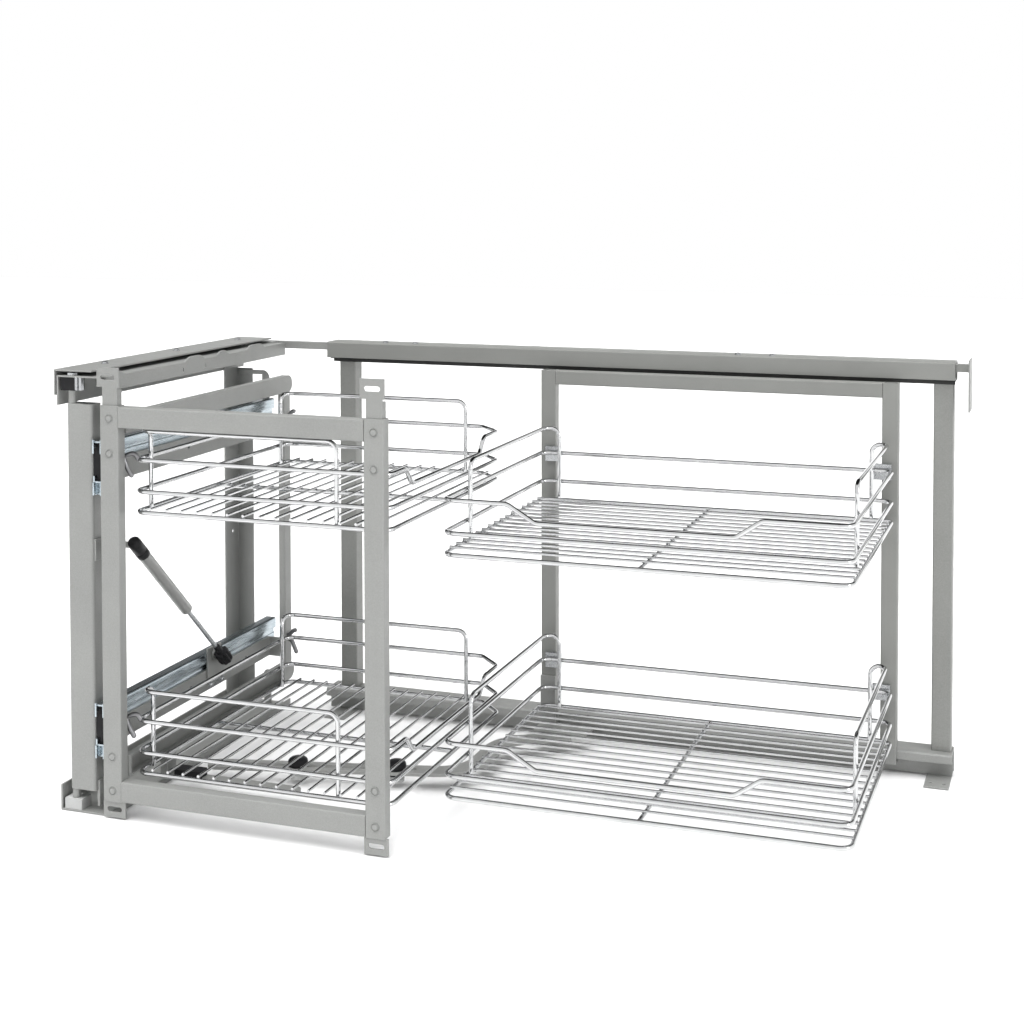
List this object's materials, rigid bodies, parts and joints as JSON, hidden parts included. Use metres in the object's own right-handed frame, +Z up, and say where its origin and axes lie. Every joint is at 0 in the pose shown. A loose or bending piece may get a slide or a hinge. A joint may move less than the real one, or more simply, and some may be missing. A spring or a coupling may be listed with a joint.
{
  "type": "blind corner pull out",
  "caption": "Blind corner cabinet pull out: a hinged front frame with sliding wire baskets and a hanging rear carriage with wider wire baskets, on a fixed floor and rail frame.",
  "frame": {"origin": "underside of the fixed floor channel, on the cabinet floor, near its middle", "axes": "+Z up, -Y to the front where the door is, +X into the blind corner"},
  "size_m": [1.04, 0.4759, 0.54],
  "materials": {
    "frame_paint": "satin silver-grey powder coat",
    "chrome_wire": "bright chrome plating",
    "zinc_rail": "bluish zinc plating",
    "bright_steel": "bright zinc-plated steel",
    "black_plastic": "black moulded plastic",
    "pale_plastic": "off-white moulded plastic",
    "strut_body": "satin grey strut tube"
  },
  "bodies": {
    "fixed_frame": {"base_channel": "frame_paint", "base_pivot_block": "pale_plastic", "top_cover": "frame_paint", "top_channel": "frame_paint", "top_pivot_block": "black_plastic", "top_pivot_nut": "bright_steel", "rear_corner_post": "frame_paint", "stop_strap_upper": "frame_paint", "stop_strap_lower": "frame_paint", "rear_top_rail": "frame_paint", "rear_bottom_rail": "frame_paint", "rear_post_left": "frame_paint", "rear_post_right": "frame_paint", "rear_feet": "frame_paint", "tie_bar_left": "frame_paint", "tie_bar_right": "frame_paint", "wall_plate": "frame_paint", "frame_screws": "bright_steel"},
    "swing_post": {"pivot_post": "frame_paint", "pivot_pins": "frame_paint", "slide_block_upper": "black_plastic", "slide_block_lower": "black_plastic", "strut_bracket_upper": "frame_paint"},
    "front_carriage": {"stile_left": "frame_paint", "stile_right": "frame_paint", "frame_rail_top": "frame_paint", "frame_rail_bottom": "frame_paint", "door_bracket_upper_left": "frame_paint", "door_bracket_upper_right": "frame_paint", "door_bracket_lower_left": "frame_paint", "door_bracket_lower_right": "frame_paint", "frame_rivets": "frame_paint", "arm_upper": "frame_paint", "arm_lower": "frame_paint", "rear_upright": "frame_paint", "slide_rail_upper": "zinc_rail", "slide_rail_lower": "zinc_rail", "carrier_plate_upper": "frame_paint", "carrier_plate_lower": "frame_paint", "strut_bracket_lower": "frame_paint", "front_basket_hooks": "bright_steel", "front_basket_upper": "chrome_wire", "front_basket_lower": "chrome_wire", "catch_arm": "frame_paint", "catch_buffer": "black_plastic"},
    "damper_rod": {"strut_rod": "bright_steel", "strut_rod_end": "black_plastic"},
    "damper_cylinder": {"strut_cylinder": "strut_body", "strut_cylinder_end": "black_plastic"},
    "rear_carriage": {"hanger_rail": "frame_paint", "hanger_posts": "frame_paint", "hanger_brackets": "frame_paint", "hanger_glides": "black_plastic", "lower_guides": "frame_paint", "rear_basket_hooks": "bright_steel", "rear_basket_upper": "chrome_wire", "rear_basket_lower": "chrome_wire", "link_strap": "frame_paint"},
    "roller_left": {"link_roller_left": "black_plastic"},
    "roller_right": {"link_roller_right": "black_plastic"}
  },
  "joints": [
    {"name": "pull_out", "type": "slide", "parent": "swing_post", "child": "front_carriage", "axis": [0, -1, 0], "range_m": [0, 0.33]},
    {"name": "swing", "type": "hinge", "parent": "fixed_frame", "child": "swing_post", "pos_m": [-0.017, -0.21, 0.25], "axis": [0, 0, -1], "range_deg": [0, 30.1]},
    {"name": "damper_turn", "type": "hinge", "parent": "front_carriage", "child": "damper_rod", "pos_m": [0.046, 0.021, 0.1285], "axis": [-1, 0, 0], "range_deg": [0, 81.2]},
    {"name": "damper_stroke", "type": "slide", "parent": "damper_rod", "child": "damper_cylinder", "axis": [0, 0.718, -0.696], "range_m": [0, 0.041]},
    {"name": "rear_slide", "type": "slide", "parent": "fixed_frame", "child": "rear_carriage", "axis": [1, 0, 0], "range_m": [-0.035, 0.03]},
    {"name": "roller_left_spin", "type": "hinge", "parent": "rear_carriage", "child": "roller_left", "pos_m": [0.19701, -0.0511, 0.029], "axis": [0, 0, 1], "continuous": true},
    {"name": "roller_right_spin", "type": "hinge", "parent": "rear_carriage", "child": "roller_right", "pos_m": [0.32003, -0.02292, 0.029], "axis": [0, 0, 1], "continuous": true}
  ],
  "couplings": [
    {"joint": "swing", "follows": "pull_out", "rad_per_m": 1.5866},
    {"joint": "damper_turn", "follows": "pull_out", "rad_per_m": 4.289},
    {"joint": "damper_stroke", "follows": "pull_out", "ratio": 0.1227}
  ]
}
